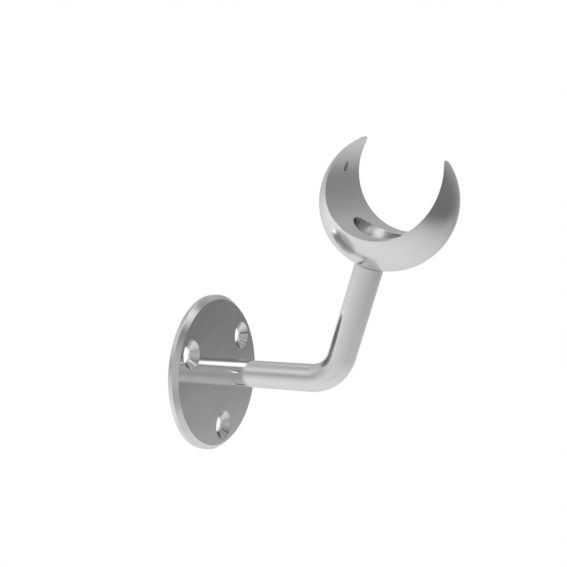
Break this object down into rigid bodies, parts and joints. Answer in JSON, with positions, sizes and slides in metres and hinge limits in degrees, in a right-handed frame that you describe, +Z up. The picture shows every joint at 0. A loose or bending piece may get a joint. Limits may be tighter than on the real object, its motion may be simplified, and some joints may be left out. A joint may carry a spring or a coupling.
{
  "type": "handrail bracket",
  "caption": "Wall bracket for a round handrail: countersunk disc plate, bent round arm and an open ball saddle bored for the rail.",
  "frame": {"origin": "centre of the wall plate's back face, on the wall", "axes": "+X away from the wall along the level part of the arm, +Y along the handrail, +Z up"},
  "size_m": [0.1147, 0.07, 0.1347],
  "materials": {
    "plate_steel": "turned and polished",
    "arm_steel": "polished along the bar",
    "saddle_steel": "turned and polished",
    "screw_steel": "plain rolled and headed"
  },
  "bodies": {
    "root": {"wall_plate": "plate_steel", "bent_arm": "arm_steel", "rail_saddle": "saddle_steel", "saddle_screw": "screw_steel"}
  },
  "joints": []
}
